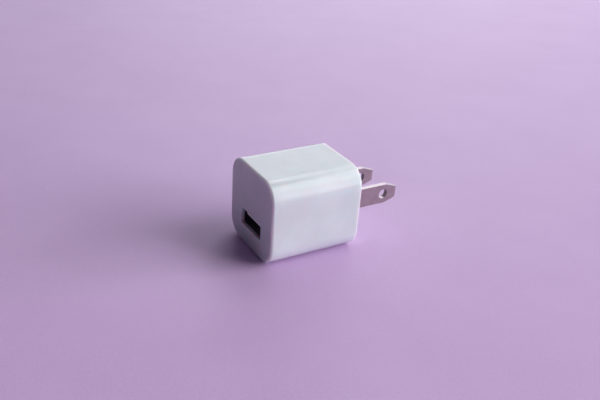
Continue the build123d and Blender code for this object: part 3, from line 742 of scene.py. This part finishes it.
# %% Drum and coil
DRUM_BELOW_BOARD = 0.18
drum_top = box_mm("input_board")[0].z - DRUM_BELOW_BOARD
material, place = finish("drum_ferrite")
_, _, z = coordinates(place)
grit = grain(place, 5.0, detail=4.0, rough=0.7)
drum = (tint(grit, shade(46, 46, 50), shade(70, 70, 75)), 0.6 - 0.15 * grit, 0.0)
lay_over(material, step(z, drum_top - 0.01, drum_top + 0.01), drum, tinned(place), grit, relief_mm=0.02)
dress(material, "inductor_core")

WIRE_MM = 0.32
low, high = box_mm("inductor_coil")
material, place = finish("enamelled_copper")
_, _, z = coordinates(place)
turns = z.maths("SINE", (z - low.z) * (2 * math.pi / WIRE_MM)) * 0.5 + 0.5
# Painted shade: the copper is darkened in the grooves between turns, in step with the relief.
copper = tint(turns, shade(112, 52, 26), shade(214, 122, 74))
apply(material, turns, relief_mm=0.12, Base_Color=copper, Roughness=0.24 + 0.1 * turns, Metallic=1.0)
dress(material, "inductor_coil")
print(round((high.z - low.z) / WIRE_MM), "turns of wire on the drum")

# %% Safety capacitor
DISC_TOP_ABOVE_LOWEST = 7.0
disc_top = box_mm("safety_capacitor")[0].z + DISC_TOP_ABOVE_LOWEST
material, place = finish("blue_epoxy")
_, _, z = coordinates(place)
orange_peel = grain(place, 1.6, detail=2.0)
blue = (tint(orange_peel, shade(34, 84, 158), shade(52, 106, 184)), 0.22 + 0.12 * orange_peel, 0.0)
lay_over(material, step(z, disc_top + 0.1, disc_top + 0.25), blue, tinned(place), orange_peel, relief_mm=0.03)
dress(material, "safety_capacitor")

# %% [markdown]
# ## Moulded packages
#
# The transistor, the controller and the diodes are chips in black epoxy, with tinned leads that leave along one
# direction. Their real tops carry printed codes, which are left off. What stays is the matt mould texture, a dimple
# that shows the first lead and, on a diode, the pale bar at its cathode.


# %% Packages
DIMPLE_ACROSS = -1.5
DIMPLE_FROM_END = 0.8
DIMPLE_RADIUS = 0.33
BAR_PLACE, BAR_HALF = -0.68, 0.14


def package_finish(name, node, lead_axis, body_half, mark):
    low, high = box_mm(node)
    centre = (low + high) / 2
    material, place = finish(name)
    x, y, _ = coordinates(place)
    offsets = {"x": x - centre.x, "y": y - centre.y}
    along, across = offsets[lead_axis], offsets["y" if lead_axis == "x" else "x"]
    colour, roughness, metallic = epoxy(place)
    if mark == "dimple":
        from_dimple = from_axis(across - DIMPLE_ACROSS, along - (body_half - DIMPLE_FROM_END))
        spot = step(from_dimple, DIMPLE_RADIUS + 0.03, DIMPLE_RADIUS - 0.03)
        colour = tint(spot, colour, shade(22, 22, 24))
        roughness = roughness - 0.25 * spot
    else:
        bar = band(along, BAR_PLACE * body_half, BAR_HALF * body_half)
        colour = tint(bar, colour, shade(176, 176, 178))
    leads = step(abs(along), body_half + 0.005, body_half + 0.03)
    body, metal = (colour, roughness, metallic), tinned(place)
    lay_over(material, leads, body, metal, grain(place, 8.0, detail=2.0), relief_mm=0.006)
    return material


dress(package_finish("transistor_epoxy", "power_transistor", "y", body_half=1.75, mark="dimple"), "power_transistor")
dress(package_finish("controller_epoxy", "control_ic", "y", body_half=1.95, mark="dimple"), "control_ic")
dress(package_finish("schottky_epoxy", "output_diode", "x", body_half=1.3, mark="bar"), "output_diode")
for number in "1234":
    node = "rectifier_diode_" + number
    dress(package_finish(node + "_epoxy", node, "x", body_half=0.8, mark="bar"), node)

# %% [markdown]
# ## Chips
#
# A ceramic chip is a bare block with metal ends. Capacitors are tan right through, and resistors show the black glaze
# that covers them. All the chips of a row point the same way, so one mask gives all their ends.


# %% Chip parts
CHIP_BODY_HALF = 0.6
GLAZE = (34, 34, 36), (52, 52, 55)
TAN = (166, 132, 96), (184, 152, 116)


def chip_finish(node, body, speckle):
    low, high = box_mm(node)
    material, place = finish(node + "_ceramic")
    x, _, _ = coordinates(place)
    grit = grain(place, 6.0, detail=3.0)
    ceramic = (tint(grit, shade(*body), shade(*speckle)), 0.45 + 0.2 * grit, 0.0)
    ends = step(abs(x - (low.x + high.x) / 2), CHIP_BODY_HALF, CHIP_BODY_HALF + 0.02)
    lay_over(material, ends, ceramic, tinned(place), grit, relief_mm=0.008)
    return material


for node, shades in (("chip_resistors", GLAZE), ("port_resistors", GLAZE), ("chip_capacitors", TAN)):
    dress(chip_finish(node, *shades), node)

# %% [markdown]
# ## Insulating sheet
#
# A sheet of polyester film lies on the port's shell and keeps the mains side apart from it. It is milky and a little
# see-through, with the fine scratches of a sheet that was slid into place.

# %% Film
material, place = finish("polyester_film")
haze = grain(place, 0.6, detail=3.0)
scratches = step(grain(place, 1.0, detail=5.0, rough=0.8, stretch=(0.2, 5.0, 5.0)), 0.62, 0.70)
film = tint(haze, shade(206, 212, 214), shade(226, 230, 230))
apply(material, scratches, relief_mm=0.003, Base_Color=film, Roughness=0.22 + 0.25 * scratches, Alpha=0.62 + 0.2 * haze)
dress(material, "insulating_sheet")
